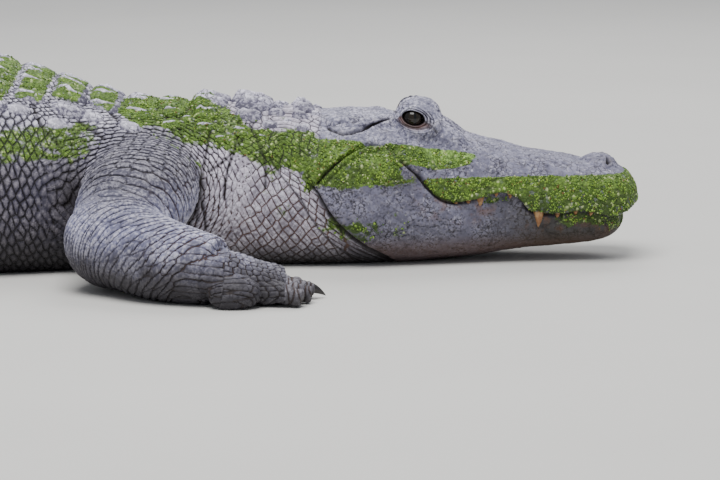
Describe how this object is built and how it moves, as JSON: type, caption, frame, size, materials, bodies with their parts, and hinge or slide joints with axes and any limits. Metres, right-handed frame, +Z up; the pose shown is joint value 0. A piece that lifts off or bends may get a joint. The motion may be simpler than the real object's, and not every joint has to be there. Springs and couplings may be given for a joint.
{
  "type": "american alligator",
  "caption": "Still, life-size alligator lying on its belly, legs spread, tail curved, with keeled scutes along its back.",
  "frame": {"origin": "on the floor under the middle of the belly", "axes": "+X towards the snout, +Y to the animal's left, +Z up"},
  "size_m": [3.1144, 1.0389, 0.3122],
  "materials": {
    "hide": "damp, worn, blue-grey scales with dark grooves",
    "eye": "wet, dark"
  },
  "bodies": {
    "root": {"head": "hide", "lower_jaw": "hide", "eye_right": "eye", "eye_left": "eye", "neck": "hide", "torso": "hide", "tail_1": "hide", "tail_2": "hide", "tail_3": "hide", "tail_4": "hide", "front_right_upper_arm": "hide", "front_right_forearm": "hide", "front_right_foot": "hide", "front_left_upper_arm": "hide", "front_left_forearm": "hide", "front_left_foot": "hide", "hind_right_thigh": "hide", "hind_right_shank": "hide", "hind_right_foot": "hide", "hind_left_thigh": "hide", "hind_left_shank": "hide", "hind_left_foot": "hide"}
  },
  "joints": []
}
